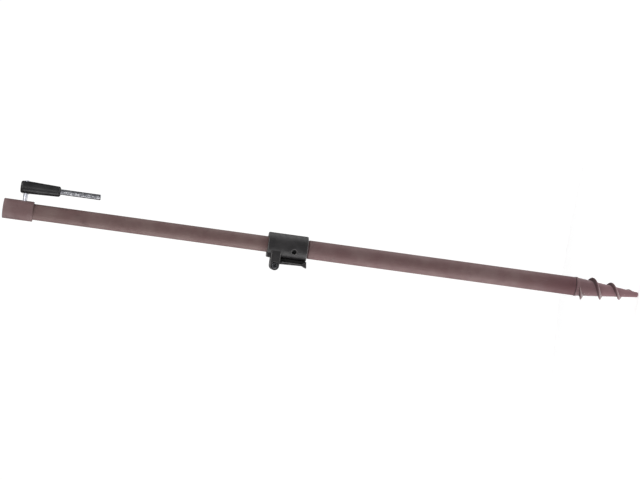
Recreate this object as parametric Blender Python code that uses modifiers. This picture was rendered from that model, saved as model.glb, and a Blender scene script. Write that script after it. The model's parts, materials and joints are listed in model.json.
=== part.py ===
"""A telescopic pole that screws into the ground.

Two steel tubes slide in each other. A solid auger point closes the lower one, a moulded clamp with a cam
lever sits on its mouth and grips the inner one, and a folding handle hangs from a stud in the head collar.

Metres, +Z up along the pole. The origin is on the pole's axis at the ground line, where the outer tube
meets the auger. The handle is on the +X side, the clamp's lever on the -X side, and the lever's pivot
runs along Y.
"""

import math

import bmesh
import bpy
from mathutils import Matrix

# Gaps between solids
SEAT_GAP = 0.0003  # between pieces that are pressed, glued or screwed together
WELD_GAP = 0.00015  # between the auger's cone and the strip welded round it
RUN_GAP = 0.0001  # round a shaft that turns in its hole

# Outer tube and its rolled groove, which stops the inner section from pulling out
OUTER_R = 0.0114
OUTER_BORE_R = 0.0102
OUTER_TOP_Z = 0.3627
GROOVE_Z = 0.3337
GROOVE_HALF = 0.0009
GROOVE_DEPTH = 0.00045
GROOVE_BEAD = 0.0003  # how far the groove stands into the bore

# Auger point: a spigot in the tube, a flange, a long cone and a blunt nose
SPIGOT_R = 0.0099
SPIGOT_TOP_Z = 0.025
FLANGE_R = 0.0119
FLANGE_T = 0.0027
CONE_TOP_R = 0.0113
CONE_TOP_Z = -0.0038
CONE_TIP_R = 0.0034
CONE_TIP_Z = -0.0775
NOSE_Z = -0.0809
NOSE_FLAT_R = 0.0011

# Auger flight: a right-handed strip that runs out to nothing at both ends
FLIGHT_TOP_Z = -0.0040
FLIGHT_PITCH = 0.0239
FLIGHT_TURNS = 2.92
FLIGHT_HEIGHT = 0.0047
FLIGHT_TAPER = 0.00045  # height lost in each turn
FLIGHT_LEAD_IN = 0.22  # turns over which it rises
FLIGHT_RUN_OUT = 0.62  # turns over which it falls away
FLIGHT_FOOT_HALF = 0.0024
FLIGHT_CREST_HALF = 0.0012
FLIGHT_STEPS = 30  # sections in each turn

# Inner tube
INNER_R = 0.00965
INNER_BORE_R = 0.00845
INNER_BOTTOM_Z = 0.3321
INNER_TOP_Z = 0.7029

# Glide bush at the inner tube's foot
BUSH_FLANGE_R = 0.00995
BUSH_PLUG_R = 0.00815
BUSH_BORE_R = 0.0050
BUSH_BOTTOM_Z = 0.3258
BUSH_FLANGE_TOP_Z = 0.3318
BUSH_TOP_Z = 0.3468

# Head collar and the threaded insert inside it
COLLAR_R = 0.0121
COLLAR_BOTTOM_Z = 0.6691
HEAD_TOP_Z = 0.7051
INSERT_R = 0.00815
INSERT_BOTTOM_Z = 0.6720
SOCKET_R = 0.0045
SOCKET_DEPTH = 0.0165

# Handle: stud, grip and bar. Its centre line hangs parallel to the pole
STUD_Z = 0.6808
HANDLE_X = 0.0283
STUD_ROOT_X = 0.0022
STUD_ROOT_R = 0.0025
STUD_SHOULDER_X = 0.0199
STUD_SHOULDER_R = 0.0028
STUD_NECK_R = 0.0020
STUD_HEAD_X = 0.0355
STUD_HEAD_R = 0.0028
STUD_HEAD_T = 0.0012
WASHER_R = 0.0036
WASHER_T = 0.0005
GRIP_TOP_Z = 0.6878
GRIP_BOTTOM_Z = 0.6398
GRIP_TOP_R = 0.00765
GRIP_BOTTOM_R = 0.0062
GRIP_ROUND = 0.0030
GRIP_CHAMFER = 0.0014
BAR_R = 0.0034
BAR_TOP_Z = 0.6730
BAR_BOTTOM_Z = 0.5912

# Clamp housing
HOUSING_R = 0.01535
HOUSING_TOP_Z = 0.3834
HOUSING_BOTTOM_Z = 0.3347
HOUSING_EDGE = 0.0006
HOUSING_SEAT_Z = 0.3630  # the shoulder on which the outer tube's mouth rests
HOUSING_GUIDE_R = 0.0099
SADDLE_X = -0.0156  # outer face of the block that carries the ears
SADDLE_BOTTOM_Z = 0.3662
SADDLE_TOP_Z = 0.3832
SADDLE_HALF_Y = 0.0117
SADDLE_ROOT_X = -0.002  # where the saddle and the ears end inside the cylinder
EAR_INNER_Y = 0.0084
EAR_OUTER_Y = 0.0138
EAR_GAP_SINK = 0.0001  # how far the gap between the ears cuts into the saddle
EAR_ROOT_HALF = 0.0057
EAR_END_R = 0.0056
PIVOT_X = -0.0248
PIVOT_Z = 0.3723
RIB_SLOT_HALF = 0.0022
RIB_SLOT_X = -0.0139
PAD_WINDOW_HALF_Y = 0.0062
PAD_WINDOW_HALF_Z = 0.0052

# Grub screws that fix the housing to the outer tube
GRUB_Z = 0.3509
GRUB_ANGLE = math.radians(21)  # from the Y axis towards -X
GRUB_HOLE_R = 0.00315
GRUB_R = 0.0029
GRUB_OUTER = 0.0133  # distance of the screw's outer end from the pole's axis
GRUB_KEY_R = 0.0017
GRUB_KEY_DEPTH = 0.0011

# Pivot screw and nut
PIVOT_R = 0.0020
SCREW_HEAD_R = 0.0042
SCREW_HEAD_T = 0.0023
SCREW_DOME_R = 0.0032
HEAD_POCKET_R = 0.0046
HEAD_POCKET_DEPTH = 0.0016
SCREW_END_Y = 0.0136
NUT_R = 0.0040  # across corners
NUT_T = 0.0029
NUT_POCKET_R = 0.0044
NUT_FLOOR_Y = 0.0104

# Cam lever. The cam's radius shrinks as the lever opens, so the pad follows it back
CAM_R = 0.0064
CAM_FALL = 0.0004  # metres of radius in each radian
CAM_END = math.radians(112)
HUB_R = 0.0053
HUB_HALF = 0.0080
PADDLE_HALF = 0.0105
PADDLE_TOP = -0.0066  # where the lever widens, measured from the pivot
NECK_END = -0.0125
NECK_INSET = 0.0003
LEVER_INNER = 0.0059
LEVER_OUTER = 0.0026
LEVER_OUTER_END = 0.0037
LEVER_FLARE = -0.0335
LEVER_END = -0.0390
LEVER_END_SLANT = 0.0010
LEVER_TIP_INNER = 0.0099
LEVER_TIP_OUTER = 0.0013
RIB_HALF = 0.0018
RIB_REACH = 0.0105
RIB_TOP = -0.0060
RIB_BOTTOM = -0.0365

# Brake pad
PAD_HALF_Y = 0.0060
PAD_HALF_Z = 0.0050
PAD_BACK_X = -0.01825
PAD_FRONT_X = -0.0086
PAD_HOLLOW_R = 0.0098

TUBE_SIDES = 64
SMALL_SIDES = 32
HEX_SIDES = 6
MERGE = 0.00001

BROWN = ((0.105, 0.075, 0.070), 0.55, 0.2)
BROWN_DARK = ((0.095, 0.062, 0.062), 0.6, 0.2)
BLACK_PLASTIC = ((0.028, 0.027, 0.028), 0.5, 0.0)
GRIP_PLASTIC = ((0.018, 0.018, 0.020), 0.4, 0.0)
GREY_PLASTIC = ((0.30, 0.30, 0.29), 0.5, 0.0)
ZINC = ((0.55, 0.56, 0.60), 0.3, 1.0)
BLACK_STEEL = ((0.05, 0.05, 0.055), 0.35, 1.0)


def clear_scene():
    for obj in list(bpy.data.objects):
        bpy.data.objects.remove(obj)


def new_collection(name):
    made = bpy.data.collections.new(name)
    bpy.context.scene.collection.children.link(made)
    return made


def new_material(name, look):
    """A Principled material from its colour, roughness and metallic value."""
    color, roughness, metallic = look
    made = bpy.data.materials.new(name)
    made.use_nodes = True
    shader = made.node_tree.nodes["Principled BSDF"]
    shader.inputs["Base Color"].default_value = (*color, 1)
    shader.inputs["Roughness"].default_value = roughness
    shader.inputs["Metallic"].default_value = metallic
    made.diffuse_color = (*color, 1)
    return made


def new_pivot(name, location):
    """An empty on a joint's axis, the parent of the pieces that move with that joint."""
    pivot = bpy.data.objects.new(name, None)
    pivot.empty_display_size = 0.01
    pivot.location = location
    PARTS.objects.link(pivot)
    return pivot


def place(obj, location=(0, 0, 0), rotation=(0, 0, 0), pivot=None):
    """Puts an object at a place in the pole's frame, under its pivot if it has one."""
    obj.rotation_euler = rotation
    if pivot:
        obj.parent = pivot
        obj.location = [at - base for at, base in zip(location, pivot.location)]
    else:
        obj.location = location
    return obj


def finish(obj, look):
    """Makes an object a sub-part of the pole, with its own material."""
    PARTS.objects.link(obj)
    obj.data.materials.append(new_material(obj.name, look))
    return obj


def as_tool(obj):
    """Makes an object a cutter or an addend of Boolean modifiers, which isn't a sub-part itself."""
    TOOLS.objects.link(obj)
    obj.hide_render = True
    obj.display_type = "WIRE"
    return obj


def combine(target, tool, operation):
    modifier = target.modifiers.new(f"{operation.lower()} {tool.name}", "BOOLEAN")
    modifier.operation = operation
    modifier.solver = "EXACT"
    modifier.object = tool


def turned(name, outline, sides=TUBE_SIDES, ring=False):
    """A turned shape round its own Z. The outline is (radius, height), down the outer side first."""
    mesh = bpy.data.meshes.new(name)
    points = [(radius, 0, height) for radius, height in outline]
    edges = [(i, i + 1) for i in range(len(points) - 1)]
    if ring:
        edges.append((len(points) - 1, 0))
    mesh.from_pydata(points, edges, [])
    obj = bpy.data.objects.new(name, mesh)
    screw = obj.modifiers.new("turn", "SCREW")
    screw.steps = screw.render_steps = sides
    screw.use_merge_vertices = True
    screw.merge_threshold = MERGE
    return obj


def mesh_object(name, bm):
    mesh = bpy.data.meshes.new(name)
    bm.to_mesh(mesh)
    bm.free()
    return bpy.data.objects.new(name, mesh)


def block(name, low, high):
    """A box between two corners, in the pole's frame."""
    bm = bmesh.new()
    bmesh.ops.create_cube(bm, size=1)
    size = [b - a for a, b in zip(low, high)]
    middle = [(a + b) / 2 for a, b in zip(low, high)]
    bmesh.ops.scale(bm, vec=size, verts=bm.verts)
    obj = mesh_object(name, bm)
    obj.location = middle
    return obj


def cylinder(name, radius, length, sides=SMALL_SIDES):
    """A cylinder or a prism along its own Z, from 0 up to its length."""
    bm = bmesh.new()
    bmesh.ops.create_cone(
        bm, cap_ends=True, segments=sides, radius1=radius, radius2=radius, depth=length
    )
    bmesh.ops.translate(bm, vec=(0, 0, length / 2), verts=bm.verts)
    return mesh_object(name, bm)


def extruded(name, outline, half_width):
    """A flat outline in the XZ plane, given thickness both ways along Y, as a mesh."""
    curve = bpy.data.curves.new(name, "CURVE")
    curve.dimensions = "2D"
    curve.fill_mode = "BOTH"
    curve.extrude = half_width
    spline = curve.splines.new("POLY")
    spline.points.add(len(outline) - 1)
    for point, (x, z) in zip(spline.points, outline):
        point.co = (x, z, 0, 1)
    spline.use_cyclic_u = True
    flat = bpy.data.objects.new(name, curve)
    bpy.context.scene.collection.objects.link(flat)
    evaluated = flat.evaluated_get(bpy.context.evaluated_depsgraph_get())
    mesh = bpy.data.meshes.new_from_object(evaluated)
    bpy.data.objects.remove(flat)
    bm = bmesh.new()
    bm.from_mesh(mesh)
    bmesh.ops.remove_doubles(bm, verts=bm.verts, dist=MERGE)
    bmesh.ops.rotate(bm, matrix=Matrix.Rotation(math.pi / 2, 3, "X"), verts=bm.verts)
    bm.to_mesh(mesh)
    bm.free()
    return bpy.data.objects.new(name, mesh)


def arc(center, radius, start, end, steps):
    """Points on a circle, from one angle to another."""
    return [
        (
            center[0] + radius * math.cos(start + (end - start) * i / steps),
            center[1] + radius * math.sin(start + (end - start) * i / steps),
        )
        for i in range(steps + 1)
    ]


def rolled_groove(radius, depth, going_down, steps=8):
    """The outline of the tube's groove: one smooth dip of a cosine's shape."""
    points = []
    for i in range(steps + 1):
        along = 2 * i / steps - 1
        dip = depth * (1 + math.cos(math.pi * along)) / 2
        height = -along if going_down else along
        points.append((radius - dip, GROOVE_Z + height * GROOVE_HALF))
    return points


def make_outer_tube():
    outline = [(OUTER_R, OUTER_TOP_Z)]
    outline += rolled_groove(OUTER_R, GROOVE_DEPTH, going_down=True)
    outline += [(OUTER_R, SEAT_GAP), (OUTER_BORE_R, SEAT_GAP)]
    outline += rolled_groove(OUTER_BORE_R, GROOVE_BEAD, going_down=False)
    outline += [(OUTER_BORE_R, OUTER_TOP_Z)]
    return finish(turned("outer_tube", outline, ring=True), BROWN)


def cone_radius(z):
    share = (CONE_TOP_Z - z) / (CONE_TOP_Z - CONE_TIP_Z)
    return CONE_TOP_R + (CONE_TIP_R - CONE_TOP_R) * share


def make_auger_point():
    chamfer = 0.001
    flange_edge = 0.0003
    nose_round = CONE_TIP_R - NOSE_FLAT_R
    outline = [
        (0, SPIGOT_TOP_Z),
        (SPIGOT_R - chamfer, SPIGOT_TOP_Z),
        (SPIGOT_R, SPIGOT_TOP_Z - chamfer),
        (SPIGOT_R, 0),
        (FLANGE_R - flange_edge, 0),
        (FLANGE_R, -flange_edge),
        (FLANGE_R, flange_edge - FLANGE_T),
        (FLANGE_R - flange_edge, -FLANGE_T),
        (CONE_TOP_R, CONE_TOP_Z),
        (CONE_TIP_R, CONE_TIP_Z),
    ]
    nose_center = (NOSE_FLAT_R, NOSE_Z + nose_round)
    outline += arc(nose_center, nose_round, 0, -math.pi / 2, 5)
    outline += [(0, NOSE_Z)]
    return finish(turned("auger_point", outline, sides=48), BROWN_DARK)


def smooth(share):
    """0 to 1 with level ends."""
    share = min(max(share, 0), 1)
    return share * share * (3 - 2 * share)


def flight_section(turn):
    """The strip's outline at a number of turns from its start, as (radius, height) points."""
    size = smooth(turn / FLIGHT_LEAD_IN) * smooth((FLIGHT_TURNS - turn) / FLIGHT_RUN_OUT)
    size = 0.12 + 0.88 * size
    middle = FLIGHT_TOP_Z - FLIGHT_PITCH * turn
    tall = (FLIGHT_HEIGHT - FLIGHT_TAPER * turn) * size
    foot = FLIGHT_FOOT_HALF * (0.35 + 0.65 * size)
    crest = FLIGHT_CREST_HALF * (0.35 + 0.65 * size)
    shape = [
        (0, -foot),
        (0.35, -0.72 * foot),
        (0.8, -crest),
        (0.96, -0.5 * crest),
        (1, 0),
        (0.96, 0.5 * crest),
        (0.8, crest),
        (0.35, 0.72 * foot),
        (0, foot),
    ]
    return [
        (cone_radius(middle + dz) + WELD_GAP + tall * up, middle + dz)
        for up, dz in shape
    ]


def make_auger_flight():
    """A loft of the strip's sections down a right-handed helix that starts on the -Y side."""
    bm = bmesh.new()
    count = round(FLIGHT_TURNS * FLIGHT_STEPS)
    rows = []
    for i in range(count + 1):
        turn = FLIGHT_TURNS * i / count
        angle = -math.pi / 2 - math.tau * turn
        rows.append(
            [
                bm.verts.new((r * math.cos(angle), r * math.sin(angle), z))
                for r, z in flight_section(turn)
            ]
        )
    sides = len(rows[0])
    for near, far in zip(rows, rows[1:]):
        for k in range(sides):
            after = (k + 1) % sides
            bm.faces.new((near[k], near[after], far[after], far[k]))
    bm.faces.new(rows[0])
    bm.faces.new(rows[-1])
    bmesh.ops.recalc_face_normals(bm, faces=bm.faces)
    bmesh.ops.triangulate(bm, faces=bm.faces)
    return finish(mesh_object("auger_flight", bm), BROWN_DARK)


def saddle_outline():
    """The saddle seen along Y: a block against the cylinder, beside the pad."""
    chamfer = 0.0008
    return [
        (SADDLE_ROOT_X, SADDLE_TOP_Z),
        (SADDLE_X + chamfer, SADDLE_TOP_Z),
        (SADDLE_X, SADDLE_TOP_Z - chamfer),
        (SADDLE_X, SADDLE_BOTTOM_Z),
        (SADDLE_ROOT_X, SADDLE_BOTTOM_Z),
    ]


def ear_outline():
    """An ear seen along Y: a flat bar that leaves the cylinder's side, with a round end about the pivot."""
    return (
        [(SADDLE_ROOT_X, PIVOT_Z + EAR_ROOT_HALF)]
        + arc((PIVOT_X, PIVOT_Z), EAR_END_R, math.pi / 2, 3 * math.pi / 2, 16)
        + [(SADDLE_ROOT_X, PIVOT_Z - EAR_ROOT_HALF)]
    )


def housing_shell():
    """The housing's outer cylinder, its saddle on the -X side, and a slab parted into two ears by a gap."""
    edge = HOUSING_EDGE
    outline = [
        (0, HOUSING_TOP_Z),
        (HOUSING_R - edge, HOUSING_TOP_Z),
        (HOUSING_R, HOUSING_TOP_Z - edge),
        (HOUSING_R, HOUSING_BOTTOM_Z + edge),
        (HOUSING_R - edge, HOUSING_BOTTOM_Z),
        (0, HOUSING_BOTTOM_Z),
    ]
    shell = turned("clamp_housing", outline)
    saddle = extruded("housing_saddle", saddle_outline(), SADDLE_HALF_Y)
    combine(shell, as_tool(saddle), "UNION")
    ears = extruded("housing_ears", ear_outline(), EAR_OUTER_Y)
    combine(shell, as_tool(ears), "UNION")
    ear_gap = block(
        "ear_gap",
        (2 * PIVOT_X, -EAR_INNER_Y, HOUSING_BOTTOM_Z - 0.001),
        (SADDLE_X + EAR_GAP_SINK, EAR_INNER_Y, HOUSING_TOP_Z + 0.001),
    )
    combine(shell, as_tool(ear_gap), "DIFFERENCE")
    return shell


def housing_bore():
    """The stepped bore: the outer tube's seat below the shoulder and the inner tube's guide above it."""
    seat_r = OUTER_R + SEAT_GAP
    beyond = 0.005
    outline = [
        (0, HOUSING_TOP_Z + beyond),
        (HOUSING_GUIDE_R, HOUSING_TOP_Z + beyond),
        (HOUSING_GUIDE_R, HOUSING_SEAT_Z),
        (seat_r, HOUSING_SEAT_Z),
        (seat_r, HOUSING_BOTTOM_Z - beyond),
        (0, HOUSING_BOTTOM_Z - beyond),
    ]
    return as_tool(turned("housing_bore", outline))


def radial_rotation(side):
    """Turns +Z outwards along a grub screw's hole, on the front (-1) or the back (1)."""
    return (-side * math.pi / 2, 0, side * GRUB_ANGLE)


def radial_point(side, distance):
    """A point on a grub screw's axis, at a distance from the pole's axis."""
    return (
        -distance * math.sin(GRUB_ANGLE),
        side * distance * math.cos(GRUB_ANGLE),
        GRUB_Z,
    )


def make_clamp_housing():
    housing = housing_shell()
    window = block(
        "pad_window",
        (-0.02, -PAD_WINDOW_HALF_Y, PIVOT_Z - PAD_WINDOW_HALF_Z),
        (-0.005, PAD_WINDOW_HALF_Y, PIVOT_Z + PAD_WINDOW_HALF_Z),
    )
    combine(housing, as_tool(window), "DIFFERENCE")
    rib_slot = block(
        "rib_slot",
        (-0.02, -RIB_SLOT_HALF, HOUSING_BOTTOM_Z - 0.001),
        (RIB_SLOT_X, RIB_SLOT_HALF, PIVOT_Z - PAD_WINDOW_HALF_Z + 0.0005),
    )
    combine(housing, as_tool(rib_slot), "DIFFERENCE")
    combine(housing, housing_bore(), "DIFFERENCE")
    for side, word in ((-1, "front"), (1, "back")):
        hole = cylinder(f"grub_hole_{word}", GRUB_HOLE_R, HOUSING_R)
        place(hole, radial_point(side, OUTER_BORE_R - 0.002), radial_rotation(side))
        combine(housing, as_tool(hole), "DIFFERENCE")
    along_y = (-math.pi / 2, 0, 0)
    pivot_hole = cylinder("pivot_hole", PIVOT_R + RUN_GAP, 4 * EAR_OUTER_Y)
    place(pivot_hole, (PIVOT_X, -2 * EAR_OUTER_Y, PIVOT_Z), along_y)
    combine(housing, as_tool(pivot_hole), "DIFFERENCE")
    head_pocket = cylinder("head_pocket", HEAD_POCKET_R, 0.01)
    head_floor = HEAD_POCKET_DEPTH - EAR_OUTER_Y
    place(head_pocket, (PIVOT_X, head_floor - 0.01, PIVOT_Z), along_y)
    combine(housing, as_tool(head_pocket), "DIFFERENCE")
    nut_pocket = cylinder("nut_pocket", NUT_POCKET_R, 0.01, HEX_SIDES)
    place(nut_pocket, (PIVOT_X, NUT_FLOOR_Y, PIVOT_Z), along_y)
    combine(housing, as_tool(nut_pocket), "DIFFERENCE")
    return finish(housing, BLACK_PLASTIC)


def make_grub_screws():
    """A grub screw at the front and one at the back, each with a hexagonal key socket."""
    inner = OUTER_R + SEAT_GAP
    length = GRUB_OUTER - inner
    chamfer = 0.0004
    outline = [
        (0, length),
        (GRUB_R - chamfer, length),
        (GRUB_R, length - chamfer),
        (GRUB_R, chamfer),
        (GRUB_R - chamfer, 0),
        (0, 0),
    ]
    for side, word in ((-1, "front"), (1, "back")):
        screw = turned(f"grub_screw_{word}", outline, sides=24)
        place(screw, radial_point(side, inner), radial_rotation(side))
        key = cylinder(f"grub_key_{word}", GRUB_KEY_R, 0.01, HEX_SIDES)
        key_at = radial_point(side, GRUB_OUTER - GRUB_KEY_DEPTH)
        place(key, key_at, radial_rotation(side))
        combine(screw, as_tool(key), "DIFFERENCE")
        finish(screw, BLACK_STEEL)


def make_pivot_screw():
    """A pan-head screw along +Y: its Z runs from the head's face to the threaded end."""
    seat = HEAD_POCKET_DEPTH - EAR_OUTER_Y - RUN_GAP
    face = seat - SCREW_HEAD_T
    length = SCREW_END_Y - face
    chamfer = 0.0004
    outline = [
        (0, length),
        (PIVOT_R - chamfer, length),
        (PIVOT_R, length - chamfer),
        (PIVOT_R, SCREW_HEAD_T),
        (SCREW_HEAD_R, SCREW_HEAD_T),
        (SCREW_HEAD_R, SCREW_HEAD_T / 2),
        (SCREW_DOME_R, SCREW_HEAD_T / 8),
        (0, 0),
    ]
    screw = turned("pivot_screw", outline, sides=SMALL_SIDES)
    place(screw, (PIVOT_X, face, PIVOT_Z), (-math.pi / 2, 0, 0))
    slot_long, slot_wide, slot_deep = 0.0046, 0.0009, 0.0013
    for word, long_x, long_z in (("a", slot_long, slot_wide), ("b", slot_wide, slot_long)):
        slot = block(
            f"cross_slot_{word}",
            (PIVOT_X - long_x / 2, face - 0.002, PIVOT_Z - long_z / 2),
            (PIVOT_X + long_x / 2, face + slot_deep, PIVOT_Z + long_z / 2),
        )
        combine(screw, as_tool(slot), "DIFFERENCE")
    return finish(screw, BLACK_STEEL)


def make_pivot_nut():
    nut = cylinder("pivot_nut", NUT_R, NUT_T, HEX_SIDES)
    along_y = (-math.pi / 2, 0, 0)
    place(nut, (PIVOT_X, NUT_FLOOR_Y + RUN_GAP, PIVOT_Z), along_y)
    bore = cylinder("nut_bore", PIVOT_R + RUN_GAP, 0.02)
    place(bore, (PIVOT_X, 0, PIVOT_Z), along_y)
    combine(nut, as_tool(bore), "DIFFERENCE")
    return finish(nut, BLACK_STEEL)


def cam_curve(steps=20):
    """The cam from its far end, round to the nose that presses the pad."""
    points = []
    for i in range(steps + 1):
        angle = CAM_END * (1 - i / steps)
        radius = CAM_R - CAM_FALL * angle
        points.append((radius * math.cos(angle), radius * math.sin(angle)))
    return points


def hub_outline():
    """The lever's hub seen along Y, from the pivot: its round back, the cam, and a neck inside the paddle."""
    neck_inner = LEVER_INNER - NECK_INSET
    neck_outer = LEVER_OUTER + NECK_INSET
    return (
        arc((0, 0), HUB_R, math.radians(285), CAM_END + math.radians(8), 16)
        + cam_curve()
        + [(CAM_R - 0.0001, -0.0030), (neck_inner, -0.0060)]
        + [(neck_inner, NECK_END), (neck_outer, NECK_END), (neck_outer, PADDLE_TOP)]
    )


def paddle_outline():
    """The lever's plate seen along Y, from the pivot, with its thick thumb end."""
    edge = 0.0006
    return [
        (LEVER_OUTER, PADDLE_TOP),
        (LEVER_INNER, PADDLE_TOP),
        (LEVER_INNER, LEVER_FLARE),
        (LEVER_TIP_INNER, LEVER_END + LEVER_END_SLANT + edge / 2),
        (LEVER_TIP_INNER - edge, LEVER_END + LEVER_END_SLANT),
        (LEVER_TIP_OUTER + edge, LEVER_END),
        (LEVER_TIP_OUTER, LEVER_END + edge),
        (LEVER_OUTER_END, LEVER_FLARE),
    ]


def make_cam_lever(pivot):
    lever = extruded("cam_lever", hub_outline(), HUB_HALF)
    place(lever, pivot.location, pivot=pivot)
    paddle = extruded("lever_paddle", paddle_outline(), PADDLE_HALF)
    place(paddle, pivot.location, pivot=pivot)
    combine(lever, as_tool(paddle), "UNION")
    rib_outline = [
        (LEVER_INNER - 0.001, RIB_TOP),
        (LEVER_INNER - 0.001, RIB_BOTTOM),
        (RIB_REACH, RIB_BOTTOM),
        (RIB_REACH, RIB_TOP),
    ]
    rib = extruded("lever_rib", rib_outline, RIB_HALF)
    place(rib, pivot.location, pivot=pivot)
    combine(lever, as_tool(rib), "UNION")
    bore = cylinder("lever_bore", PIVOT_R + RUN_GAP, 4 * HUB_HALF)
    place(bore, (PIVOT_X, -2 * HUB_HALF, PIVOT_Z), (-math.pi / 2, 0, 0))
    combine(lever, as_tool(bore), "DIFFERENCE")
    return finish(lever, BLACK_PLASTIC)


def make_brake_pad(pivot):
    pad = block(
        "brake_pad",
        (PAD_BACK_X, -PAD_HALF_Y, PIVOT_Z - PAD_HALF_Z),
        (PAD_FRONT_X, PAD_HALF_Y, PIVOT_Z + PAD_HALF_Z),
    )
    place(pad, tuple(pad.location), pivot=pivot)
    hollow = cylinder("pad_hollow", PAD_HOLLOW_R, 0.03, TUBE_SIDES)
    place(hollow, (0, 0, PIVOT_Z - 0.015))
    combine(pad, as_tool(hollow), "DIFFERENCE")
    return finish(pad, GREY_PLASTIC)


def make_glide_bush(pivot):
    outline = [
        (BUSH_PLUG_R, BUSH_TOP_Z),
        (BUSH_PLUG_R, BUSH_FLANGE_TOP_Z),
        (BUSH_FLANGE_R, BUSH_FLANGE_TOP_Z),
        (BUSH_FLANGE_R, BUSH_BOTTOM_Z),
        (BUSH_BORE_R, BUSH_BOTTOM_Z),
        (BUSH_BORE_R, BUSH_TOP_Z),
    ]
    bush = turned("glide_bush", outline, sides=48, ring=True)
    place(bush, pivot=pivot)
    return finish(bush, GREY_PLASTIC)


def stud_hole(name, radius):
    """A cutter for the stud's hole through the head, open on the +X side only."""
    hole = cylinder(name, radius, 0.03)
    place(hole, (STUD_ROOT_X - SEAT_GAP, 0, STUD_Z), (0, math.pi / 2, 0))
    return as_tool(hole)


def make_inner_tube(pivot, hole):
    outline = [
        (INNER_R, INNER_TOP_Z),
        (INNER_R, INNER_BOTTOM_Z),
        (INNER_BORE_R, INNER_BOTTOM_Z),
        (INNER_BORE_R, INNER_TOP_Z),
    ]
    tube = turned("inner_tube", outline, ring=True)
    place(tube, pivot=pivot)
    combine(tube, hole, "DIFFERENCE")
    return finish(tube, BROWN)


def make_head_collar(pivot, hole):
    edge = 0.0004
    bore_r = INNER_R + SEAT_GAP
    outline = [
        (COLLAR_R - edge, HEAD_TOP_Z),
        (COLLAR_R, HEAD_TOP_Z - edge),
        (COLLAR_R, COLLAR_BOTTOM_Z + edge),
        (COLLAR_R - edge, COLLAR_BOTTOM_Z),
        (bore_r, COLLAR_BOTTOM_Z),
        (bore_r, HEAD_TOP_Z),
    ]
    collar = turned("head_collar", outline, ring=True)
    place(collar, pivot=pivot)
    combine(collar, hole, "DIFFERENCE")
    return finish(collar, BROWN)


def make_head_insert(pivot, hole):
    """The plug in the tube's top: its rim covers the tube's end and its socket takes a threaded head."""
    lead_in = 0.0006
    rim_z = INNER_TOP_Z + SEAT_GAP
    outline = [
        (0, HEAD_TOP_Z),
        (INNER_R, HEAD_TOP_Z),
        (INNER_R, rim_z),
        (INSERT_R, rim_z),
        (INSERT_R, INSERT_BOTTOM_Z),
        (0, INSERT_BOTTOM_Z),
    ]
    insert = turned("head_insert", outline, sides=48)
    place(insert, pivot=pivot)
    beyond = 0.001
    socket_z = HEAD_TOP_Z - SOCKET_DEPTH
    socket_outline = [
        (0, HEAD_TOP_Z + beyond),
        (SOCKET_R + lead_in, HEAD_TOP_Z + beyond),
        (SOCKET_R + lead_in, HEAD_TOP_Z),
        (SOCKET_R, HEAD_TOP_Z - lead_in),
        (SOCKET_R, socket_z),
        (0, socket_z - SOCKET_R / 2),
    ]
    socket = turned("head_socket", socket_outline, sides=SMALL_SIDES)
    combine(insert, as_tool(socket), "DIFFERENCE")
    combine(insert, hole, "DIFFERENCE")
    return finish(insert, ZINC)


def make_handle_stud(pivot):
    """The stud lies along +X: its Z runs out from the pole's axis, through the head to the grip."""
    chamfer = 0.0004
    dome_r = 0.0017
    head_top = STUD_HEAD_X + STUD_HEAD_T
    outline = [
        (0, head_top),
        (dome_r, head_top - STUD_HEAD_T / 8),
        (STUD_HEAD_R, head_top - STUD_HEAD_T / 2),
        (STUD_HEAD_R, STUD_HEAD_X),
        (STUD_NECK_R, STUD_HEAD_X),
        (STUD_NECK_R, STUD_SHOULDER_X),
        (STUD_SHOULDER_R, STUD_SHOULDER_X),
        (STUD_ROOT_R, COLLAR_R),
        (STUD_ROOT_R, STUD_ROOT_X + chamfer),
        (STUD_ROOT_R - chamfer, STUD_ROOT_X),
        (0, STUD_ROOT_X),
    ]
    stud = turned("handle_stud", outline, sides=SMALL_SIDES)
    place(stud, (0, 0, STUD_Z), (0, math.pi / 2, 0), pivot=pivot)
    return finish(stud, ZINC)


def make_stud_washer(pivot):
    """A thin washer on the stud's neck, between its shoulder and the grip."""
    bottom = STUD_SHOULDER_X + RUN_GAP
    outline = [
        (WASHER_R, bottom + WASHER_T),
        (WASHER_R, bottom),
        (STUD_NECK_R + RUN_GAP, bottom),
        (STUD_NECK_R + RUN_GAP, bottom + WASHER_T),
    ]
    washer = turned("stud_washer", outline, sides=SMALL_SIDES, ring=True)
    place(washer, (0, 0, STUD_Z), (0, math.pi / 2, 0), pivot=pivot)
    return finish(washer, ZINC)


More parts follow.
